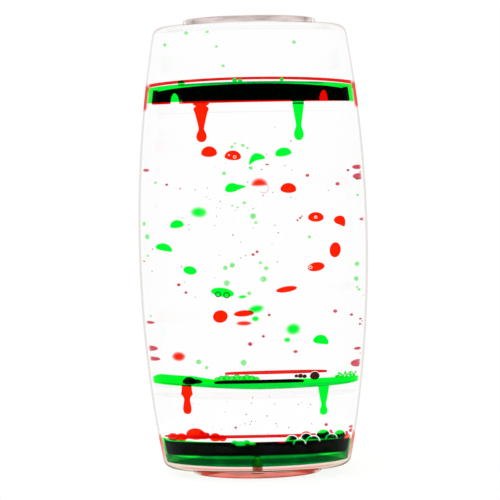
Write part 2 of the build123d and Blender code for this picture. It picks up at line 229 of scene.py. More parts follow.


# polished case: bends the view face-on, and its edge is a thin line of painted shade that takes up a painted
# reflection of the dye beside it
def caseMaterial():
    polish = {**clearSockets, "Specular Tint": (0.08, 0.08, 0.08, 1)}
    material, tree, shader = newMaterial("caseOuter", {**polish, "IOR": 1.49})
    grain = useGroup(tree, mouldGrain, Scale=40.0, Depth=0.004)
    coord = addNode(tree, "TexCoord")
    parts = addNode(tree, "SeparateXYZ", {"Vector": (coord, "Object")})
    height = rangeNode(tree, (parts, "Z"), 0.0, caseShape["height"] * mm)
    ramps = [heightRamp(tree, height, caseLook[part]) for part in ("face", "side", "edge")]
    paintedFaceTint, paintedSideTint, paintedEdgeTint = ramps
    # the middle of the width and its ends are tinted apart
    across = mathNode(tree, "ABSOLUTE", (parts, "X"))
    outward = rangeNode(tree, across, *caseLook["ends"], ease="SMOOTHSTEP")
    apart = mixNode(tree, outward, (paintedFaceTint, "Color"), (paintedSideTint, "Color"))
    # level streaks of painted shade where the foot rings bend the view
    stretch = addNode(tree, "Mapping", {"Vector": (coord, "Object"), "Scale": caseLook["streaks"]})
    streak = addNode(tree, "TexNoise", {"Vector": (stretch, "Vector"), "Scale": 1.0, "Detail": 3.0})
    hatchShade = rangeNode(tree, (streak, "Fac"), *caseLook["streakTone"])
    halfHeight = caseShape["height"] / 2
    fromMiddle = mathNode(tree, "SUBTRACT", (parts, "Z"), halfHeight * mm)
    far = mathNode(tree, "ABSOLUTE", fromMiddle)
    onRing = mathNode(tree, "GREATER_THAN", far, (halfHeight - caseLook["ringHeight"]) * mm)
    streaked = mixNode(tree, onRing, apart, hatchShade, "MULTIPLY")
    tint = mixNode(tree, 1.0, (grain, "Tint"), streaked, "MULTIPLY")
    wave = addNode(tree, "Bump", {"Height": (grain, "Height"), "Strength": 0.008, "Distance": mm})
    setSockets(tree, shader, {"Base Color": tint, "Normal": (wave, "Normal")})
    # the painted shade and reflection line along the edge
    rim = addNode(tree, "LayerWeight", {"Blend": 0.5})
    full = mathNode(tree, "ADD", (paintedEdgeTint, "Alpha"), caseLook["lineWidth"])
    line = rangeNode(tree, (rim, "Facing"), (paintedEdgeTint, "Alpha"), full, ease="SMOOTHSTEP")
    ends = mixNode(tree, outward, caseLook["plainEdge"], (paintedEdgeTint, "Color"))
    edge = mixNode(tree, line, white, ends)
    thin = addNode(tree, "BsdfPrincipled", {**polish, "Base Color": edge})
    # light on its way out meets the wall plainly at smaller angles than on its way in
    side = addNode(tree, "NewGeometry")
    sooner = mathNode(tree, "MULTIPLY_ADD", (side, "Backfacing"), caseLook["outwards"], (rim, "Facing"))
    plain = rangeNode(tree, sooner, *caseLook["plain"], ease="SMOOTHSTEP")
    mixSurface(tree, plain, shader, thin)
    return material


# dyed water in oil: full tone face-on, paler towards the rim, with a painted line on top, an emission that
# stands in for the room thrown back: a painted highlight when its tone is white, a painted dark shade outline
# when dark, and painted light on the upper halves when green
def dyeMaterial(name, deep, thin, fade=0.0, start=0.7, end=1.0, scale=300.0, rim=None, paintedRimTone=(1, 1, 1)):
    material, tree, shader = newMaterial(name, clearSockets)
    body = useGroup(tree, dyeBody, Deep=(*deep, 1), Thin=(*thin, 1), Scale=scale)
    facing = addNode(tree, "LayerWeight", {"Blend": 0.5})
    outward = rangeNode(tree, (facing, "Facing"), start, end, 0.0, fade, "SMOOTHSTEP")
    pale = mixNode(tree, outward, (body, "Tone"), white)
    setSockets(tree, shader, {"Base Color": pale})
    # painted light: an emission on the upper, front faces seen near edge-on
    if rim:
        flat = rangeNode(tree, (facing, "Facing"), *rim)
        side = addNode(tree, "NewGeometry")
        parts = addNode(tree, "SeparateXYZ", {"Vector": (side, "Normal")})
        above = rangeNode(tree, (parts, "Z"), -0.1, 0.3)
        fromOil = mathNode(tree, "SUBTRACT", 1.0, (side, "Backfacing"))
        upper = mathNode(tree, "MULTIPLY", fromOil, above)
        share = mathNode(tree, "MULTIPLY", flat, upper)
        line = addNode(tree, "Emission", {"Color": (*paintedRimTone, 1)})
        mixSurface(tree, share, shader, line)
    return material


# brown moulded plug with a fine grain
def plugMaterial():
    material, tree, shader = newMaterial("plugPlastic", {"Roughness": 0.35})
    grain = useGroup(tree, mouldGrain, Scale=700.0, Depth=0.25)
    tone = mixNode(tree, 1.0, (grain, "Tint"), (0.6, 0.36, 0.26, 1), "MULTIPLY")
    setSockets(tree, shader, {"Base Color": tone})
    return material


# painted highlight: an opaque white ring stands for the bright edge of an air bubble caught in a drop
def glintMaterial():
    material, tree, shader = newMaterial("bubbleGlint", {"Roughness": 0.25})
    grain = useGroup(tree, mouldGrain, Scale=2500.0, Depth=0.3)
    setSockets(tree, shader, {"Base Color": (grain, "Tint")})
    return material


clearLooks = {
    "caseInner": dict(edge=(0.84, 0.79, 0.78), start=0.84, depth=0.002),
    "oil": dict(edge=(0.998, 0.995, 0.995), start=0.9, depth=0.002, scale=25),
    "insert": dict(edge=(0.9, 0.84, 0.83), start=0.8, depth=0.003, scale=90, cad=True),
    "step": dict(edge=(0.995, 0.99, 0.99), start=0.9, depth=0.002, scale=120, cad=True),
}
# facing range of the painted highlight line along the tops of pools and foam
paintedHighlightRange = (0.5, 0.6)
dyeLooks = {
    "greenPool": dict(deep=(0, 0.9, 0.02), thin=(0, 0.98, 0.05), scale=110, rim=paintedHighlightRange),
    "greenFlat": dict(deep=(0, 0.95, 0.022), thin=(0, 1, 0.05), scale=110),
    "greenShade": dict(deep=(0, 0.34, 0.045), thin=(0, 0.62, 0.08), scale=90),
    "greenMid": dict(deep=(0.008, 0.62, 0.06), thin=(0.02, 0.86, 0.09), scale=160),
    # painted shade: the dark band at the foot of the bottom pool
    "greenDense": dict(deep=(0, 0.085, 0.008), thin=(0, 0.16, 0.02), scale=140),
    # painted shade: dark green for the band under a flange and the rings round bubbles
    "greenDeep": dict(deep=(0, 0.16, 0.02), thin=(0, 0.3, 0.04), scale=900),
    "redPool": dict(deep=(0.8, 0.001, 0), thin=(0.95, 0.003, 0), scale=110, rim=paintedHighlightRange),
    "redFlat": dict(deep=(0.72, 0.012, 0.008), thin=(0.88, 0.022, 0.014), scale=140),
    "greenDrop": dict(deep=(0, 0.97, 0.028), thin=(0, 1, 0.05), fade=0.35, start=0.6),
    "redDrop": dict(deep=(0.98, 0.013, 0), thin=(1, 0.022, 0.003), fade=0.3, start=0.6),
    "greenSoft": dict(deep=(0, 0.97, 0.04), thin=(0.02, 1, 0.08), fade=1, start=0.06, end=0.76),
    "redSoft": dict(deep=(0.98, 0.02, 0.002), thin=(1, 0.05, 0.015), fade=1, start=0.06, end=0.76),
    "greenPale": dict(deep=(0.22, 0.84, 0.22), thin=(0.46, 0.95, 0.45),
                      fade=0.7, start=0.4, end=0.9, scale=900),
    "redPale": dict(deep=(0.62, 0.045, 0.07), thin=(0.8, 0.19, 0.25),
                    fade=0.6, start=0.4, end=0.9, scale=900),
    "redThread": dict(deep=(0.98, 0.8, 0.82), thin=(1, 0.9, 0.92), scale=900),
    # painted highlight line along the top of the foam
    "greenFoam": dict(deep=(0, 0.8, 0.02), thin=(0, 0.95, 0.04), scale=200, rim=(0.44, 0.54)),
    # painted shade: the beads take a dark outline along their upper rim
    "greenBead": dict(deep=(0.01, 0.97, 0.035), thin=(0.06, 1, 0.1), scale=500, rim=(0.46, 0.7),
                      paintedRimTone=(0, 0.03, 0)),
    # painted light: the upper halves of these beads glow green
    "greenLit": dict(deep=(0, 0.9, 0.03), thin=(0, 1, 0.06), rim=(-0.2, -0.1), paintedRimTone=(0, 0.72, 0.05)),
    "darkFoam": dict(deep=(0.05, 0.01, 0.008), thin=(0.1, 0.025, 0.016), scale=400, rim=paintedHighlightRange),
    "speck": dict(deep=(0.16, 0.15, 0.15), thin=(0.45, 0.42, 0.42), fade=0.5, start=0.6, scale=900),
}
looks = {"caseOuter": caseMaterial(), "plug": plugMaterial(), "glint": glintMaterial()}
looks.update({name: clearMaterial(name, **look) for name, look in clearLooks.items()})
looks.update({name: dyeMaterial(name, **look) for name, look in dyeLooks.items()})
print("materials", len(looks))


# mesh helpers

# degrees up to which a round piece stays smooth
roundSharp = 80


def meshOf(name, bm):
    bmesh.ops.recalc_face_normals(bm, faces=bm.faces)
    bmesh.ops.scale(bm, vec=(mm, mm, mm), verts=bm.verts)
    mesh = bpy.data.meshes.new(name)
    bm.to_mesh(mesh)
    bm.free()
    return mesh


def addObject(name, data):
    item = bpy.data.objects.new(name, data)
    bpy.context.collection.objects.link(item)
    return item


# green_upper_pool is remade as greenUpperPool
def pieceName(node):
    first, *others = node.split("_")
    return first + "".join(word.title() for word in others)


def storePiece(name, bm, materials, nodes=(), body="case", sharp=35):
    mesh = meshOf(name, bm)
    for material in materials:
        mesh.materials.append(looks[material])
    for polygon in mesh.polygons:
        polygon.use_smooth = True
    mesh.set_sharp_from_angle(angle=math.radians(sharp))
    piece = addObject(name, mesh)
    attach(piece, body)
    if nodes:
        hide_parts(*nodes)
    return piece


def spread(low, high, count):
    return [low + (high - low) * index / (count - 1) for index in range(count)]


def between(low, value, high):
    return min(high, max(low, value))


def sizeAndMove(bm, verts, size, move):
    bmesh.ops.scale(bm, vec=size, verts=verts)
    bmesh.ops.translate(bm, vec=move, verts=verts)


def bulge(z, middle, end):
    reach = caseShape["height"] / 2 - caseShape["footHeight"]
    sag = middle - end
    radius = (reach ** 2 + sag ** 2) / (2 * sag)
    return middle - radius + math.sqrt(radius ** 2 - (z - caseShape["height"] / 2) ** 2)


def wallRing(z, inset):
    width = bulge(z, caseShape["halfWidth"], caseShape["endHalfWidth"]) - inset
    return width, bulge(z, caseShape["halfDepth"], caseShape["endHalfDepth"]) - inset, z


# a closed skin through elliptical rings of half width, half depth and height
def ringStack(bm, rings, finish=0):
    width, depth, z = rings[0]
    made = bmesh.ops.create_circle(bm, cap_ends=True, segments=caseShape["segments"], radius=1.0)["verts"]
    sizeAndMove(bm, made, (width, depth, 1), (0, 0, z))
    edges = {edge for vert in made for edge in vert.link_edges}
    faces = {face for vert in made for face in vert.link_faces}
    for nextWidth, nextDepth, nextZ in rings[1:]:
        grown = bmesh.ops.extrude_edge_only(bm, edges=list(edges))["geom"]
        made = [item for item in grown if isinstance(item, bmesh.types.BMVert)]
        faces.update(item for item in grown if isinstance(item, bmesh.types.BMFace))
        sizeAndMove(bm, made, (nextWidth / width, nextDepth / depth, 1), (0, 0, nextZ - z))
        ring = set(made)
        edges = {edge for vert in made for edge in vert.link_edges if edge.other_vert(vert) in ring}
        width, depth, z = nextWidth, nextDepth, nextZ
    faces.update(bmesh.ops.edgeloop_fill(bm, edges=list(edges))["faces"])
    for face in faces:
        face.material_index = finish


# takes off what lies past a plane and closes the cut
def cutPast(bm, place, way, finish=0):
    everything = bm.verts[:] + bm.edges[:] + bm.faces[:]
    bmesh.ops.bisect_plane(bm, geom=everything, dist=1e-5, plane_co=place, plane_no=way, clear_outer=True)
    rim = [edge for edge in bm.edges if edge.is_boundary]
    for item in bmesh.ops.triangle_fill(bm, use_beauty=True, edges=rim, normal=way)["geom"]:
        if isinstance(item, bmesh.types.BMFace):
            item.material_index = finish


# keeps what lies beyond y on one side, -1 the front and 1 the rear
def keepSide(bm, side, y, finish=0):
    cutPast(bm, (0, y, 0), (0, -side, 0), finish)


# a turned solid about a vertical line, from points of radius and height
def turned(bm, points, x=0, y=0, steps=40):
    line = [bm.verts.new((radius, 0, z)) for radius, z in points]
    for first, second in zip(line, line[1:]):
        bm.edges.new((first, second))
    geom = line + list({edge for vert in line for edge in vert.link_edges})
    bmesh.ops.spin(bm, geom=geom, cent=(0, 0, 0), axis=(0, 0, 1), angle=math.tau, steps=steps, use_merge=True)
    bmesh.ops.remove_doubles(bm, verts=bm.verts, dist=1e-4)
    bmesh.ops.translate(bm, vec=(x, y, 0), verts=bm.verts)


def turnedCutter(points, place, deeper=1):
    bm = bmesh.new()
    turned(bm, points)
    sizeAndMove(bm, bm.verts, (1, deeper, 1), (place.x, place.y, 0))
    return addObject("cutter", meshOf("cutter", bm))


def cutAway(piece, cutter):
    cut = piece.modifiers.new("cut", "BOOLEAN")
    setAll(cut, operation="DIFFERENCE", solver="EXACT", object=cutter)
    seen = piece.evaluated_get(bpy.context.evaluated_depsgraph_get())
    mesh = bpy.data.meshes.new_from_object(seen)
    piece.modifiers.clear()
    piece.data = mesh
    bpy.data.objects.remove(cutter)


def boxOf(node):
    low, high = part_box(node)
    return low / mm, high / mm


def middleOf(node):
    low, high = boxOf(node)
    return (low + high) / 2


# case: two half shells and the plate between them, one outer skin cut in three

# the way of a filling's corner, up and back, as shares of how soft it is
fillShape = {"soft": 0.6, "levels": 40, "corner": ((0.0, 1.0), (0.12, 0.4))}
plugBore = {"radius": 1.49, "from": -1, "to": 4.5}


def outerRings():
    low = caseShape["footHeight"]
    end = caseShape["endRound"]
    wall = -caseShape["footWall"]
    footPath = [(wall, low), (wall, 0.35), (wall + 0.1, 0.1), (wall + 0.35, 0.0), (-0.35, 0.0), (-0.1, 0.1)]
    footPath += [(0.0, 0.35), (0.0, low - 0.25), (0.08, low - 0.07), (0.3, low)]
    half = [(caseShape["footHalfWidth"] + out, caseShape["footHalfDepth"] + out, z) for out, z in footPath]
    for turn in spread(0, 90, caseShape["endSteps"]):
        angle = math.radians(turn)
        half.append(wallRing(low + end * (1 - math.cos(angle)), end * (1 - math.sin(angle))))
    top = [(width, depth, caseShape["height"] - z) for width, depth, z in reversed(half)]
    sides = spread(low + end, caseShape["height"] - low - end, caseShape["levels"])[1:-1]
    return half + [wallRing(z, 0) for z in sides] + top


def fillRings(low, high, inset):
    soft = fillShape["soft"]
    corner = [(soft * up, inset + soft * back) for up, back in fillShape["corner"]]
    start = [wallRing(low + up, back) for up, back in corner]
    end = [wallRing(high - up, back) for up, back in reversed(corner)]
    return start + [wallRing(z, inset) for z in spread(low + soft, high - soft, fillShape["levels"])] + end


def shellPiece(name, side, node, plug):
    bm = bmesh.new()
    ringStack(bm, outerRings(), 0)
    ringStack(bm, fillRings(caseShape["floor"], caseShape["ceiling"], caseShape["wall"]), 1)
    keepSide(bm, side, side * caseShape["halfPlate"], 1)
    shell = storePiece(name, bm, ["caseOuter", "caseInner"], [node])
    radius, low, high = plugBore.values()
    cutAway(shell, turnedCutter([(0, low), (radius, low), (radius, high), (0, high)], middleOf(plug)))


def platePiece(name, node):
    bm = bmesh.new()
    ringStack(bm, outerRings(), 0)
    edge = caseShape["halfPlate"] - caseShape["plateGap"]
    keepSide(bm, -1, edge, 1)
    keepSide(bm, 1, -edge, 1)
    storePiece(name, bm, ["caseOuter", "caseInner"], [node])


shellPiece("frontShellClear", -1, "front_shell", "front_fill_plug")
shellPiece("rearShellClear", 1, "rear_shell", "rear_fill_plug")
platePiece("partitionPlate", "centre_partition")
print("case done")

# oil in each half, a touch inside the walls
oilGap = {"wall": 0.05, "plate": 0.04}


def oilPiece(name, side, node):
    gap = oilGap["wall"]
    bm = bmesh.new()
    ringStack(bm, fillRings(caseShape["floor"] + gap, caseShape["ceiling"] - gap, caseShape["wall"] + gap))
    keepSide(bm, side, side * (caseShape["halfPlate"] + oilGap["plate"]))
    storePiece(name, bm, ["oil"], [node])


oilPiece("frontOil", -1, "front_clear_oil")
oilPiece("rearOil", 1, "rear_clear_oil")

for node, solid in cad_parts.items():
    for ending, look in (("_shelf", "insert"), ("_plug", "plug")):
        if node.endswith(ending):
            solid.data.materials.clear()
            solid.data.materials.append(looks[look])

# ramps, thinned from above and shortened at the lower end, to leave room for the drops
rampShape = {"thinner": 0.7, "shorter": 1.8, "merge": 0.005}


def islandsOf(bm):
    seen, islands = set(), []
    for start in bm.faces:
        if start.index in seen:
            continue
        seen.add(start.index)
        queue, island = [start], set()
        while queue:
            face = queue.pop()
            island.add(face.index)
            for near in (other for edge in face.edges for other in edge.link_faces):
                if near.index not in seen:
                    seen.add(near.index)
                    queue.append(near)
        islands.append(island)
    return islands


def trimEnd(bm, way, off):
    reach = max(vert.co.dot(way) for vert in bm.verts)
    cutPast(bm, way * (reach - off), way)


def rampPiece(node):
    whole = bmesh.new()
    whole.from_mesh(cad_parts[node].data)
    bmesh.ops.scale(whole, vec=(1 / mm, 1 / mm, 1 / mm), verts=whole.verts)
    bmesh.ops.remove_doubles(whole, verts=whole.verts, dist=rampShape["merge"])
    whole.faces.index_update()
    whole.normal_update()
    bm = bmesh.new()
    for island in islandsOf(whole):
        ramp = whole.copy()
        others = [face for face in ramp.faces if face.index not in island]
        bmesh.ops.delete(ramp, geom=others, context="FACES")
        up = max((face.normal for face in ramp.faces), key=lambda normal: normal.z).copy()
        trimEnd(ramp, up, rampShape["thinner"])
        trimEnd(ramp, Vector((math.copysign(up.z, up.x), 0, -abs(up.x))), rampShape["shorter"])
        part = bpy.data.meshes.new("ramp")
        ramp.to_mesh(part)
        ramp.free()
        bm.from_mesh(part)
        bpy.data.meshes.remove(part)
    whole.free()
    storePiece(pieceName(node), bm, ["step"], [node])


rampPiece("front_ramps")
rampPiece("rear_ramps")

# nozzles and vent cones: radius of the bore and of its tip, wall, and reach beyond the shelf. the flange
# lies a hair off the shelf
insertShapes = {
    "nozzle": {"bore": 1.85, "tip": 0.8, "wall": 0.6, "reach": 5.6},
    "cone": {"bore": 1.3, "tip": 0.75, "wall": 0.5, "reach": 3.8},
}
flangeShape = {"out": 0.8, "thick": 0.8, "gap": 0.06, "soft": 0.15}


def insertPiece(node):
    side, part, kind = node.split("_")
    low, high = (corner.z for corner in boxOf(f"{side}_{part}_shelf"))
    bore, tip, wall, reach = insertShapes[kind].values()
    out, thick, gap, soft = flangeShape.values()
    outside = bore + wall
    flange = outside + out
    # the flange is at height 0 on its shelf, with the thickness of the shelf below it
    depth = high - low
    rim = [(outside, -gap), (outside, gap), (flange - soft, gap), (flange, gap + soft),
           (flange, thick - soft), (flange - soft, thick)]
    if kind == "nozzle":
        end = -depth - reach
        line = [(tip, end), (tip + wall - soft, end), (tip + wall, end + soft), (outside, -depth)] + rim
        line += [(bore, thick), (bore, -depth), (tip, end)]
    else:
        line = [(bore, -depth), (outside, -depth)] + rim + [(outside, thick), (tip + wall, reach - soft)]
        line += [(tip + wall - soft, reach), (tip, reach), (bore, 0.0), (bore, -depth)]
    line = [(radius, high + z if part == "upper" else low - z) for radius, z in line]
    place = middleOf(node)
    bm = bmesh.new()
    turned(bm, line, place.x, place.y)
    storePiece(pieceName(node), bm, ["step"], [node])


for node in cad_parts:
    if node.endswith(("_nozzle", "_cone")):
        insertPiece(node)
print("oil and inserts done")

# pools, with the liquid creeping up the wall. foot and creep are steps back from the wall and up, surface has
# shares of the width
poolEdge = {
    "foot": ((0.7, 0.0), (0.25, 0.12), (0.0, 0.5)), "wallFrom": 0.8, "levels": 9,
    "creep": ((0.2, 0.72), (0.5, 0.42), (1.0, 0.18), (1.8, 0.05), (2.8, 0.0)),
    "surface": (0.72, 0.56, 0.4, 0.24, 0.1),
}
poolGap = {"shelf": 0.06, "wall": 0.15, "plate": 0.1}
# how deep the top and the foot of a pool are taken, the length over which the foot lifts, how far an end is
# rounded, and what counts as its flat top and its flank
poolZone = {"top": 0.5, "foot": 0.6, "lift": 28, "round": 0.97, "flat": 0.97, "shine": 0.05, "flank": 0.3}


def poolRings(low, level, rise, inset):
    rings = [wallRing(low + up, inset + back) for back, up in poolEdge["foot"]]
    sides = spread(low + poolEdge["wallFrom"], level + rise, poolEdge["levels"])
    rings += [wallRing(z, inset) for z in sides]
    width, depth, z = wallRing(level, inset)
    rings += [(width - back, depth - back, level + rise * up) for back, up in poolEdge["creep"]]
    return rings + [(width * share, depth * share, level) for share in poolEdge["surface"]]


# under and rise: flat level below the CAD top and height of the creep, ends: share of the width, arch: fall
# at the ends, round: length of a rounded end, calm: where the creep dies away and over what length, lift:
# rise of the foot at the left. shine, dense, flank, crown and shade say which faces take the other looks, and
# bullet and plug what is cut out: the way round a cone, moved across, or the room for a plug. the foot band
# and flanks of the bottom pool and the top rim of the upper pool take painted shade, and part of the flat top
# of the lower pool takes a painted highlight line
poolShapes = {
    "green_upper_pool": dict(
        side=-1, looks=["greenFlat", "greenShade"], under=-0.3, rise=0.3, lift=0.5,
        inset=0.06, crown=0.5, arch=0.7, bullet=("front_upper_cone", 1.2)),
    "red_upper_pool": dict(
        side=1, looks=["redPool"], under=2.1, rise=0.2, ends=0.91, arch=2.4,
        bullet=("rear_upper_cone", -0.9)),
    "green_lower_pool": dict(
        side=-1, looks=["greenFlat", "greenPool", "greenMid"], under=0.2, rise=2.2,
        lift=1.1, calm=(-19.0, 15.0), shine=(0.5, 14.0), shade=0.9, inset=0.2, round=3.5),
    "red_lower_pool": dict(
        side=1, looks=["redPool"], under=0.35, rise=0.1, base=0.2, ends=0.41, shift=0.9, round=9.0),
    "green_bottom_pool": dict(
        side=-1, looks=["greenFlat", "greenDense", "greenShade"], under=0.6, rise=1.5,
        dense=2.3, calm=(6.0, 4.0), inset=0.1, flank=0.84, plug="front_fill_plug"),
    "red_bottom_pool": dict(
        side=1, looks=["redPool"], under=0.4, rise=0.6, base=2.2, ends=0.94, plug="rear_fill_plug"),
}
shadeSpan = (-14, 24)


def poolPiece(node, shape):
    low, high = boxOf(node)
    base = low.z + poolGap["shelf"] + shape.get("base", 0.0)
    level = high.z - shape["under"]
    halfway = (base + level) / 2
    bm = bmesh.new()
    inset = caseShape["wall"] + shape.get("inset", poolGap["wall"])
    ringStack(bm, poolRings(base, level, shape["rise"], inset))
    keepSide(bm, shape["side"], shape["side"] * (caseShape["halfPlate"] + poolGap["plate"]))
    reach = max(vert.co.x for vert in bm.verts)
    for vert in bm.verts:
        x = vert.co.x
        if vert.co.z > level - poolZone["top"]:
            vert.co.z -= shape.get("arch", 0.0) * (1 - math.sqrt(max(0.0, 1 - (x / reach) ** 2)))
        if vert.co.z < base + poolZone["foot"]:
            vert.co.z += shape.get("lift", 0.0) * between(0.0, -x / poolZone["lift"], 1.0)
        if "calm" in shape and vert.co.z > level:
            start, length = shape["calm"]
            vert.co.z = level + (vert.co.z - level) * between(0.1, 1 - (x - start) / length, 1.0)
        if "round" in shape:
            past = max(0.0, (abs(x) - reach) / shape["round"] + 1)
            vert.co.z = halfway + (vert.co.z - halfway) * math.sqrt(1 - (past * poolZone["round"]) ** 2)
        vert.co.x = x * shape.get("ends", 1.0) + shape.get("shift", 0.0)
    for face in bm.faces:
        middle = face.calc_center_median()
        # painted highlight line on part of the flat top
        if "shine" in shape:
            left, right = shape["shine"]
            flat = middle.z > level - poolZone["shine"] and face.normal.z > poolZone["flat"]
            face.material_index = int(left < middle.x < right and flat)
        # painted shade: the foot band and the flanks are darker
        if "dense" in shape:
            flank = abs(middle.x) > reach * shape["flank"] and middle.z < level - poolZone["flank"]
            face.material_index = 1 if middle.z < base + shape["dense"] else 2 if flank else 0
        # painted shade along the top rim
        if "crown" in shape:
            face.material_index = int(middle.z > level + shape["rise"] - shape["crown"])
        if middle.z < base + shape.get("shade", 0.0) and shadeSpan[0] < middle.x < shadeSpan[1]:
            face.material_index = 2
    pool = storePiece(pieceName(node), bm, shape["looks"], [node])
    if "bullet" in shape:
        cutAway(pool, bulletCutter(*shape["bullet"]))
    if "plug" in shape:
        cutAway(pool, plugCutter(shape["plug"]))


# clear way round a vent cone, seen as a bullet through the dark pool: radius and height over the cone's foot
bulletShape = {"line": [(0, -1), (1.8, -1), (1.7, 1.2), (1.45, 2.3), (1.0, 3.1), (0, 3.6)], "deeper": 9}


def bulletCutter(cone, shift):
    place = middleOf(cone)
    place.x += shift
    base = boxOf(cone)[1].z - insertShapes["cone"]["reach"]
    line = [(radius, base + up) for radius, up in bulletShape["line"]]
    return turnedCutter(line, place, bulletShape["deeper"])


# room for a fill plug, with its pointed top
plugRoom = {"radius": 1.5, "tip": 0.76, "point": 2.2, "gap": 0.02}


def plugCutter(plug):
    low, high = (corner.z for corner in boxOf(plug))
    radius, tip, point, gap = plugRoom.values()
    line = [(0, low), (radius, low), (radius, high - point), (tip, high + gap), (0, high + 2 * gap)]
    return turnedCutter(line, middleOf(plug))


for node, shape in poolShapes.items():
    poolPiece(node, shape)


def blob(bm, middle, half, flat=1.0, segments=32):
    made = bmesh.ops.create_uvsphere(bm, u_segments=segments, v_segments=segments // 2, radius=1.0)["verts"]
    for vert in made:
        if vert.co.z < 0:
            vert.co.z *= flat
    sizeAndMove(bm, made, half, middle)


# rows of middle, half size, flat share below and segments
def blobPiece(name, look, rows, body="case"):
    bm = bmesh.new()
    for row in rows:
        blob(bm, *row)
    storePiece(name, bm, [look], body=body, sharp=roundSharp)


# red left on the vent cone of the lower shelf
low = boxOf("red_lower_pool")[0].z
cone = middleOf("rear_lower_cone")
blobPiece("redLowerMound", "redFlat", [((cone.x + 1.4, cone.y, low + 0.75), (1.9, 2.0, 1.7), 0.4),
                                       ((cone.x + 3.0, cone.y, low + 0.9), (2.0, 1.6, 0.9), 0.6)])

# red that creeps up the plate and the rear wall over its pools: bars that bend down towards the ends
filmShapes = {
    "redUpperFilm": {"x": (-32.0, 32.0), "y": (1.0, 2.2), "top": (123.5, 2.0), "under": (122.7, 2.5)},
    "redLowerFilm": {"x": (-8.5, 19.5), "y": (9.0, 9.8), "top": (33.0, 0.5), "under": (31.9, 0.0)},
    "redBottomFilm": {"x": (-25.0, 21.0), "y": (6.6, 7.2), "top": (12.8, 0.4), "under": (11.9, 0.0)},
}
filmForm = {"cuts": 60, "bow": 0.99}


def filmPiece(name, shape):
    bm = bmesh.new()
    bmesh.ops.create_cube(bm, size=2.0)
    long = [edge for edge in bm.edges if abs(edge.verts[0].co.x - edge.verts[1].co.x) > 1]
    bmesh.ops.subdivide_edges(bm, edges=long, cuts=filmForm["cuts"], use_grid_fill=True)
    left, right = shape["x"]
    for vert in bm.verts:
        x, y, z = vert.co
        bow = 1 - math.sqrt(max(0.0, 1 - (x * filmForm["bow"]) ** 2))
        up, fall = shape["top" if z > 0 else "under"]
        vert.co = ((left + right + x * (right - left)) / 2, shape["y"][1 if y > 0 else 0], up - fall * bow)
    storePiece(name, bm, ["redFlat"])


for name, shape in filmShapes.items():
    filmPiece(name, shape)
print("pools done")

# bubbles of dye gathered on the pools: across, depth, up, radius. some beads carry a painted dark shade
# outline, others painted light on their upper halves, and most foam a painted highlight line
foamShapes = {
    "greenLowerFoam": ("greenBead", [
        (-11.4, -6.8, 31.7, 0.85), (-10.1, -7.2, 32, 1), (-8.6, -6.9, 32.1, 1.05), (-7.1, -7.3, 31.9, 1),
        (-5.6, -6.8, 32.2, 1.1), (-4.1, -7.3, 31.9, 1), (-2.7, -6.8, 32.1, 1.1), (-1.2, -7.2, 31.9, 1.05),
        (0.1, -6.9, 31.6, 0.95), (-9.4, -8.4, 31.3, 0.8), (-6.4, -8.5, 31.3, 0.85),
        (-3.4, -8.5, 31.3, 0.85)]),
    "greenLowerBubble": ("darkFoam", [
        (17.2, -4.2, 32.1, 1.5), (13, -4.6, 32.2, 0.8), (14.2, -4.4, 32, 0.7), (11.8, -4.6, 32.2, 0.6)]),
    "greenLowerFroth": ("greenFoam", [
        (23.6, -3, 31.4, 0.55), (24.3, -4.1, 31.6, 0.5), (24.9, -2.6, 31.9, 0.55), (25.6, -3.7, 31.5, 0.6),
        (26.2, -2.5, 32, 0.5), (26.9, -3.3, 31.7, 0.55), (27.5, -2.2, 31.9, 0.6), (28.1, -3, 31.5, 0.55),
        (28.7, -2.1, 31.8, 0.5), (29.2, -2.6, 31.4, 0.55), (25.2, -4.6, 31.3, 0.5), (27, -4.2, 31.3, 0.5),
        (24.4, -3.4, 32.4, 0.4), (26.4, -3, 32.5, 0.38), (28, -2.4, 32.4, 0.42), (29.6, -2, 32.2, 0.42)]),
    "greenBottomFoam": ("greenFoam", [
        (10.4, -8.4, 12.2, 2), (12.8, -8.8, 11, 2), (14.8, -7.9, 12.8, 1.8), (16.9, -8, 11.5, 2.3),
        (19.9, -6.4, 13.2, 2.4), (22.6, -6, 11.8, 2), (24.9, -4.4, 12.6, 2.2)]),
    "greenBottomBeads": ("greenLit", [
        (-6.8, -11, 11.9, 1.1), (-5.1, -11.4, 11.3, 1.6), (-3.2, -11, 11.8, 1.3), (-1.5, -11.2, 11.5, 1)]),
    "redBottomFoam": ("redDrop", [
        (-23.8, 3.6, 12.2, 1.5), (-21.4, 4.2, 12.2, 1.5), (-11.9, 4.5, 12.3, 1.6), (-9.9, 4.2, 12.1, 1.2),
        (14, 5, 12.4, 1.4), (10.7, 4.4, 10.9, 1.6), (13.2, 4.2, 10.2, 1.5), (15.4, 4.8, 11.3, 1.5),
        (17.6, 4.4, 10.6, 1.9), (20.6, 3.6, 11.6, 2), (23.3, 3.2, 10.8, 1.7), (25, 2.6, 11.2, 1.6)]),
    "greenUpperBubble": ("greenBead", [(-20.4, -8.6, 121.9, 1.1)]),
    "greenUpperBeads": ("greenLit", [
        (-4.6, -11.4, 122.2, 0.75), (-3, -11.6, 122, 0.65), (9.2, -11.4, 122.3, 0.6)]),
}
foamSquash, foamSegments = 0.9, 20

for name, (look, rows) in foamShapes.items():
    blobPiece(name, look, [((x, y, z), (radius, radius, radius * foamSquash), 1.0, foamSegments)
                           for x, y, z, radius in rows])
print("foam done", len(foamShapes))
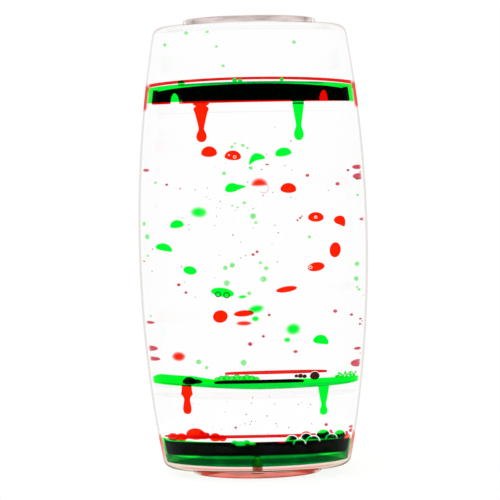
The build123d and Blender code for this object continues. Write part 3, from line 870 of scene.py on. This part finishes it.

# dye hanging in the nozzles and cones, each turned about its own line: radius and depth below its top.
# shift: moved across, shade: the band of painted shade under a flange
dripShapes = {
    "red_upper_drip": {"line": [
        (0, 0.1), (1.5, 0.1), (1.6, 0.5), (2.3, 0.9), (2.2, 1.2), (1.5, 1.7), (2.1, 2.3), (2.1, 2.9),
        (1.75, 3.7), (1.45, 5), (1.15, 6.4), (0.9, 7.6), (0.75, 8.5), (0.8, 9), (1.05, 9.6), (1.32, 10.2),
        (1.45, 10.9), (1.38, 11.6), (1.08, 12.2), (0.6, 12.6), (0, 12.7)]},
    "green_upper_drip": {"shade": (1.3, 1.8), "line": [
        (0, 0.1), (1.9, 0.1), (1.95, 0.8), (1.6, 1.3), (1.72, 1.8), (1.6, 2.6), (1.4, 4), (1.15, 5.6),
        (0.95, 7), (0.82, 8), (0.85, 8.6), (1.05, 9.2), (1.3, 9.9), (1.45, 10.6), (1.4, 11.4), (1.1, 12.1),
        (0.6, 12.6), (0, 12.7)]},
    "red_lower_drip": {"shift": 0.6, "line": [
        (0, 0.1), (1.35, 0.1), (1.4, 1.5), (1.55, 2.6), (1.65, 3), (1.2, 3.6), (0.88, 4.2), (0.82, 5),
        (0.98, 6), (1.12, 7), (1.18, 7.8), (1.06, 8.6), (0.7, 9.2), (0, 9.4)]},
    "green_lower_drip": {"line": [
        (0, 0.1), (1.75, 0.1), (1.6, 1.2), (1.35, 2.8), (1.1, 4.2), (0.85, 5.4), (0.74, 6.2), (0.86, 6.8),
        (1.12, 7.3), (1.24, 7.9), (1.16, 8.6), (0.8, 9.2), (0, 9.4)]},
}


def dripPiece(node, shape):
    place = middleOf(node)
    top = boxOf(node)[1].z
    dye = node.split("_")[0]
    bm = bmesh.new()
    line = [(radius, top - down) for radius, down in shape["line"]]
    turned(bm, line, place.x + shape.get("shift", 0.0), place.y)
    materials = [dye + "Drop"]
    if "shade" in shape:
        materials.append("greenDeep")
        start, end = shape["shade"]
        for face in bm.faces:
            face.material_index = int(start < top - face.calc_center_median().z < end)
    storePiece(pieceName(node), bm, materials, [node], sharp=60)


for node, shape in dripShapes.items():
    dripPiece(node, shape)
print("drips done")

# drops from 1 up: half width and half height, flat share below, ends bent down, right end drawn down (left
# end when negative), tail, tilt in degrees, shift across and up, deep: shift to the rear
dropShapes = {
    "green": [
        dict(half=(2.4, 1.35), flat=0.45, tilt=9, shift=(0.25, -0.25)),
        dict(half=(2.5, 1.15), flat=0.9, bend=1.2, droop=-0.4, tilt=14, shift=(0, -0.2)),
        dict(half=(2.05, 1.4), flat=0.5, tail=2.0, tilt=10, shift=(0.3, -0.35)),
        dict(half=(2.65, 1.95), tilt=-4, soft=True, shift=(0.35, -0.35)),
        dict(half=(2.1, 1.25), flat=0.4, tilt=7, shift=(0.5, -0.25)),
        dict(half=(2.7, 1.2), flat=0.9, bend=0.3, droop=0.35, tilt=-9, shift=(0.25, -0.2)),
        dict(half=(2.0, 1.3), flat=0.9, tilt=-12, shift=(0, -0.64)),
        dict(half=(3.4, 1.45), flat=0.9, tilt=-9.5, shift=(-0.2, -0.6)),
        dict(half=(1.4, 0.75), flat=0.9, tilt=5, soft=True, shift=(0.2, -0.8), deep=2.6),
        dict(half=(2.6, 1.6), tilt=10, soft=True, shift=(-1.4, -1.0), deep=-1.5),
        dict(half=(2.35, 2.05), tilt=5, soft=True, shift=(-1.8, -1.3)),
        dict(half=(2.4, 1.45), flat=0.6, bend=0.2, droop=0.45, tilt=-7, shift=(0, -0.5)),
    ],
    "red": [
        dict(half=(2.2, 1.65), flat=0.5, shift=(0, -0.45)),
        dict(half=(2.3, 1.5), flat=0.5, tilt=-5, shift=(0, -0.45)),
        dict(half=(2.55, 1.6), flat=0.6, bend=0.3, tilt=2, soft=True, shift=(-0.3, 0)),
        dict(half=(2.2, 1.55), flat=0.55, tilt=-3, shift=(0, -0.35)),
        dict(half=(2.15, 1.5), flat=0.75, tilt=-2, shift=(0, -0.3)),
        dict(half=(1.7, 1.4), flat=0.7, droop=1.0, tilt=-20, shift=(0.2, -0.66)),
        dict(half=(1.5, 2.35), tilt=-4, shift=(1.75, 0.2)),
        dict(half=(2.35, 1.4), flat=0.9, tilt=9, shift=(1.3, -0.35)),
        dict(half=(2.95, 0.95), tilt=9, shift=(0.55, -0.1)),
        dict(half=(2.8, 1.0), flat=0.8, tilt=4, shift=(0.95, 0.25)),
        dict(half=(2.1, 1.95), tilt=25, shift=(0.6, -0.3)),
        dict(half=(2.0, 1.7), soft=True, shift=(2.4, -1.45)),
    ],
}
# share of the half width that is the half depth, where a tail starts and how much it thins
dropForm = {"depth": 0.85, "tailFrom": 0.55, "tailThin": 0.25, "segments": 40, "rings": 24}
companions = {"green_drop_9": "green_drop_8"}

# small rings on some of the drops, the white ones painted highlights of bubbles and the dark green ones
# painted shade round bubbles: across, up, ring radius, thickness, look
ringShapes = {
    "red_drop_2": [(0.5, 0.0, 0.36, 0.1, "glint"), (-1.1, 0.6, 0.2, 0.08, "glint")],
    "red_drop_5": [(0.1, 0.2, 0.34, 0.11, "glint")],
    "red_drop_8": [(-1.45, 0.0, 0.42, 0.1, "glint")],
    "green_drop_8": [(-1.4, -0.35, 0.72, 0.16, "greenDeep"), (1.1, -0.65, 0.8, 0.16, "greenDeep")],
}
ringSteps = {"round": 10, "along": 28}


def ringPiece(name, body, row, place, deep):
    x, z, radius, thick, look = row
    bm = bmesh.new()
    turns = [math.tau * step / ringSteps["round"] for step in range(ringSteps["round"] + 1)]
    line = [(radius + thick * math.cos(turn), thick * math.sin(turn)) for turn in turns]
    turned(bm, line, steps=ringSteps["along"])
    bmesh.ops.rotate(bm, cent=(0, 0, 0), matrix=Matrix.Rotation(math.pi / 2, 3, "X"), verts=bm.verts)
    bmesh.ops.translate(bm, vec=(place.x + x, place.y - (deep + thick), place.z + z), verts=bm.verts)
    storePiece(name, bm, [look], body=body, sharp=roundSharp)


# a plain drop is set down on the foot of its CAD body, the others keep its middle
def dropPlace(node, shape, bottom):
    low, high = boxOf(node)
    place = (low + high) / 2
    if "flat" in shape and not any(key in shape for key in ("soft", "bend", "droop")):
        place.z = low.z - bottom
    across, up = shape["shift"]
    return place + Vector((across, shape.get("deep", 0.0), up))


def dropPiece(node, shape):
    name, dye = pieceName(node), node.split("_")[0]
    bend, droop, tail, tilt = (shape.get(key, 0.0) for key in ("bend", "droop", "tail", "tilt"))
    flat = shape.get("flat", 1.0)
    wide, tall = shape["half"]
    deep = wide * dropForm["depth"]
    tall *= 2 / (1 + flat)
    tailFrom = dropForm["tailFrom"]
    bm = bmesh.new()
    bmesh.ops.create_uvsphere(bm, u_segments=dropForm["segments"], v_segments=dropForm["rings"], radius=1.0)
    for vert in bm.verts:
        x, y, z = vert.co
        if z < 0:
            z *= flat
        z = z * tall - bend * x * x
        if x > 0:
            z -= droop * x * x
        else:
            z += min(droop, 0.0) * x * x
        across = x * wide
        if tail and x > tailFrom:
            pull = (x - tailFrom) / (1 - tailFrom)
            across += tail * pull ** 2
            z *= 1 - dropForm["tailThin"] * pull
        vert.co = (across, y * deep, z)
    turn = Matrix.Rotation(-math.radians(tilt), 3, "Y")
    bmesh.ops.rotate(bm, cent=(0, 0, 0), matrix=turn, verts=bm.verts)
    place = dropPlace(node, shape, min(vert.co.z for vert in bm.verts))
    bmesh.ops.translate(bm, vec=place, verts=bm.verts)
    look = dye + ("Soft" if "soft" in shape else "Drop")
    body = companions.get(node, node)
    storePiece(name, bm, [look], [node], body, roundSharp)
    for index, row in enumerate(ringShapes.get(node, [])):
        ringPiece(f"{name}Ring{index + 1}", body, row, place, deep)


for dye, shapes in dropShapes.items():
    for number, shape in enumerate(shapes, 1):
        dropPiece(f"{dye}_drop_{number}", shape)
    print(dye, "drops done", len(shapes))

# small droplets adrift: across, up, half width, and half height where it differs
greenDots = [
    (-5.7, 99.6, 0.35), (-2.5, 100, 0.4, 0.35), (-8.1, 91.8, 0.45, 0.4), (-0.3, 93.2, 0.4),
    (-28.6, 89.5, 0.35, 0.3), (-2.5, 83, 0.4, 0.35), (0, 79, 0.65), (0.8, 77, 0.4, 0.35), (-8.3, 63.5, 0.5),
    (-6.3, 64.4, 0.55), (-8, 59, 0.65), (3.6, 63.2, 0.5), (1.9, 65, 0.35), (2.7, 60, 0.7, 0.65),
    (-1.5, 55.9, 0.45), (16.5, 72.4, 0.35), (-16.8, 34.8, 0.6, 0.55), (-3.6, 34.8, 0.65, 0.7),
    (-14.5, 33, 0.4), (-31.2, 73, 0.6), (-32, 77, 0.5), (30.4, 63.5, 0.6, 0.55), (30.2, 59, 0.6, 0.55),
    (-24.8, 131, 0.4), (-18.6, 134, 0.45, 0.4), (-12.3, 134, 0.35, 0.3), (-9.8, 129.5, 0.3),
    (-7.8, 123.8, 0.4, 0.35), (13, 130.5, 0.4), (31, 55.6, 0.5, 0.3), (30.4, 56.4, 0.35, 0.25),
    (30.8, 89.4, 0.35, 0.25), (31, 84.6, 0.4, 0.25), (-31.2, 67.2, 0.4, 0.25), (-30.8, 48.6, 0.3, 0.25),
    (-6, 82.2, 0.25, 0.2), (-4.4, 81.6, 0.25, 0.2), (-1.2, 99.2, 0.3, 0.25), (-4.8, 100.6, 0.25),
]
redDots = [
    (-28.8, 93.2, 0.6, 0.4), (-23, 88.7, 0.3), (15, 90.6, 0.4), (23.2, 88, 0.45), (25.9, 92, 0.3),
    (12.8, 78, 0.3), (1, 68.3, 0.35), (-0.1, 67.4, 0.4, 0.35), (-20.5, 58.8, 0.4), (-18.6, 56.4, 0.35),
    (22.1, 50, 0.45), (26.6, 48.8, 0.35), (-1.4, 40.5, 0.5), (2.3, 42.8, 0.35), (11.1, 37.8, 0.5, 0.4),
    (4, 49.3, 0.35), (-29.2, 39.5, 1.7, 0.75), (-28.6, 36.2, 1.7, 0.6), (28.2, 33.6, 1.4, 1),
    (28.9, 93, 1.1, 0.6), (29.2, 90.2, 1.3, 0.85), (31.2, 77.5, 1.3, 0.5), (-29.4, 47.6, 1.2, 0.4),
    (28.2, 38.2, 0.7, 0.4), (-15.4, 12.6, 0.4), (-13.8, 12, 0.4), (-5.9, 14, 0.3), (19.6, 14.4, 0.4),
    (20.7, 12.2, 0.4, 0.35), (25.4, 11.6, 0.5, 0.4), (27.2, 13.4, 0.6, 0.4), (27.4, 12.2, 0.7, 0.5),
    (31, 91.6, 0.8, 0.3), (30.9, 54.5, 0.5, 0.25), (30.6, 46.8, 0.5, 0.25), (30.4, 45.6, 0.4, 0.2),
    (28.8, 47.4, 0.25), (29, 45.9, 0.25), (30.2, 36.7, 0.6, 0.3), (-31, 66.1, 0.7, 0.25),
    (12.2, 77.4, 0.25), (13.4, 78.6, 0.2), (4.2, 94, 0.5, 0.2), (-19.5, 87.4, 0.2),
]
# room to the wall and to the plate, and the share of the depth between that dots lie in
dotZone = {"wall": 1.2, "plate": 1.6, "room": 2.4, "share": (0.55, 0.95), "slopeFrom": 45}


# lift and slope: how far the bent view shifts a dot up, and how much more for each mm above slopeFrom
def dotPiece(name, rows, side, look, nodes=(), size=1.0, lift=1.0, slope=0.0):
    chance = random.Random(name)
    bm = bmesh.new()
    for x, z, wide, *tall in rows:
        up = z + lift + slope * max(0.0, z - dotZone["slopeFrom"])
        width, depth, z = wallRing(up, caseShape["wall"] + dotZone["wall"])
        reach = depth * math.sqrt(max(0.0, 1 - (x / width) ** 2))
        y = side * (dotZone["plate"] + (reach - dotZone["room"]) * chance.uniform(*dotZone["share"]))
        made = bmesh.ops.create_icosphere(bm, subdivisions=2, radius=1.0)["verts"]
        sizeAndMove(bm, made, (wide * size, wide * size, (*tall, wide)[0] * size), (x, y, z))
    storePiece(name, bm, [look], nodes, sharp=roundSharp)


dotPiece("greenDots", greenDots, -1, "greenPale", ["green_droplets"],
         size=1.45, lift=2.5, slope=0.006)
dotPiece("redDots", redDots, 1, "redPale", ["red_droplets"],
         size=1.3, lift=1.0, slope=0.038)

# drops that are breaking up
blobPiece("greenStrays", "greenSoft", [((0.15, -11.0, 50.6), (1.2, 1.0, 1.0)),
                                       ((9.45, -11.0, 43.9), (1.1, 0.95, 0.9))])
blobPiece("redStrays", "redSoft", [((-3.0, 8.0, 48.1), (2.3, 1.5, 1.0))])

# thin tail that curls back under one drop
tailShape = {"across": 0.9, "under": 1.5, "wide": 1.3, "tall": 1.4, "from": 60, "turn": -8, "count": 25,
             "bead": ((0.24, 0.2, 0.2), 1.0, 12)}
drop = middleOf("red_drop_3")
turns = [math.radians(tailShape["from"] + step * tailShape["turn"]) for step in range(tailShape["count"])]
places = [(drop.x + tailShape["across"] + tailShape["wide"] * math.cos(turn), drop.y,
           drop.z - tailShape["under"] + tailShape["tall"] * math.sin(turn)) for turn in turns]
blobPiece("redDrop3Tail", "redThread", [(place, *tailShape["bead"]) for place in places], "red_drop_3")

# drops landing in the bottom pool
blobPiece("redSplash", "redDrop", [((-17.4, 5.0, 13.0), (2.7, 2.2, 2.2), 0.7),
                                   ((-15.2, 5.0, 12.6), (1.9, 1.8, 1.4), 0.7)])

# specks lie in one of three zones of height
speckShape = {"zones": ((34, 108), (60, 100), (13, 24)), "across": 0.42, "size": (0.07, 0.16),
              "inset": 6, "border": 5}


def specks(name, count):
    chance = random.Random(name)
    rows = []
    for index in range(count):
        z = chance.choice([chance.uniform(*zone) for zone in speckShape["zones"]])
        x = chance.gauss(0, speckShape["across"]) * wallRing(z, speckShape["inset"])[0]
        size = chance.uniform(*speckShape["size"])
        if abs(x) < wallRing(z, speckShape["border"])[0]:
            rows.append((x, z, size))
    return rows


dotPiece("frontSpecks", specks("front", 50), -1, "speck", size=1.35)
dotPiece("rearSpecks", specks("rear", 36), 1, "speck", size=1.35)
print("droplets done")


# floor, world and lamp. mirror: range of depth and of brightness
floorShape = {"radius": 75, "under": 0.1, "segments": 96, "glow": 0.86}
roomLight = {"strength": 0.8, "mirror": (-0.2, 0.5, 0.02, 0.85)}


def floorMaterial():
    material, tree, shader = newMaterial("whiteFloor", {"Base Color": (0.9, 0.9, 0.9, 1), "Roughness": 0.9,
                                                        "Specular IOR Level": 0.0})
    path = addNode(tree, "LightPath")
    seen = mathNode(tree, "MAXIMUM", (path, "Is Camera Ray"), (path, "Is Glossy Ray"))
    both = mathNode(tree, "MAXIMUM", seen, (path, "Is Transmission Ray"))
    share = mathNode(tree, "MULTIPLY", both, floorShape["glow"])
    mixSurface(tree, share, shader, addNode(tree, "Emission", {"Color": white}))
    return material


bm = bmesh.new()
bmesh.ops.create_circle(bm, cap_ends=True, segments=floorShape["segments"], radius=floorShape["radius"] * mm)
bmesh.ops.translate(bm, vec=(0, 0, -floorShape["under"] * mm), verts=bm.verts)
floorMesh = bpy.data.meshes.new("floor")
bm.to_mesh(floorMesh)
bm.free()
floorMesh.materials.append(floorMaterial())
floor = addObject("floor", floorMesh)
floor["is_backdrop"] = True


def whiteWorld():
    world = bpy.data.worlds.new("whiteRoom")
    world.use_nodes = True
    tree = world.node_tree
    tree.nodes.clear()
    path = addNode(tree, "LightPath")
    seen = mathNode(tree, "MAXIMUM", (path, "Is Camera Ray"), (path, "Is Transmission Ray"))
    backdrop = addNode(tree, "Background", {"Color": white})
    room = addNode(tree, "Background", {"Color": white, "Strength": roomLight["strength"]})
    # reflections show the pale backdrop behind the object and a dim room on the camera's side
    coord = addNode(tree, "TexCoord")
    parts = addNode(tree, "SeparateXYZ", {"Vector": (coord, "Generated")})
    side = rangeNode(tree, (parts, "Y"), *roomLight["mirror"])
    mirror = addNode(tree, "Background", {"Strength": side})
    glossy = addNode(tree, "MixShader", {"Fac": (path, "Is Glossy Ray"), 1: (room, 0), 2: (mirror, 0)})
    mix = addNode(tree, "MixShader", {"Fac": seen, 1: (glossy, 0), 2: (backdrop, 0)})
    addNode(tree, "OutputWorld", {"Surface": (mix, 0)})
    return world


scene = bpy.context.scene
scene.world = whiteWorld()

lampSetup = {"place": (-0.15, -0.1, 0.6), "tilt": 12}
lamp = setAll(bpy.data.lights.new("topSoftbox", "AREA"), shape="SQUARE", size=0.5, energy=3.2)
lampObject = addObject("topSoftbox", lamp)
turn = Matrix.Rotation(math.radians(lampSetup["tilt"]), 4, "X")
lampObject.matrix_world = Matrix.Translation(lampSetup["place"]) @ turn
lampObject.visible_glossy = False

cameraSetup = {"place": (-1.32, -360.0, 89.53), "pitch": 5.0, "roll": -1.116}
camera = bpy.data.cameras.new("photoCamera")
setAll(camera, sensor_width=36.0, lens=82.4, shift_y=0.0806, clip_start=0.01)
cameraObject = addObject("photoCamera", camera)
turn = Matrix.Rotation(math.radians(90 - cameraSetup["pitch"]), 4, "X")
turn = turn @ Matrix.Rotation(math.radians(cameraSetup["roll"]), 4, "Z")
cameraObject.matrix_world = Matrix.Translation(Vector(cameraSetup["place"]) * mm) @ turn
scene.camera = cameraObject

scene.view_settings.view_transform = "Standard"
setAll(scene.cycles, max_bounces=48, transmission_bounces=48, transparent_max_bounces=16)
print("stage done")

low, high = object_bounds()
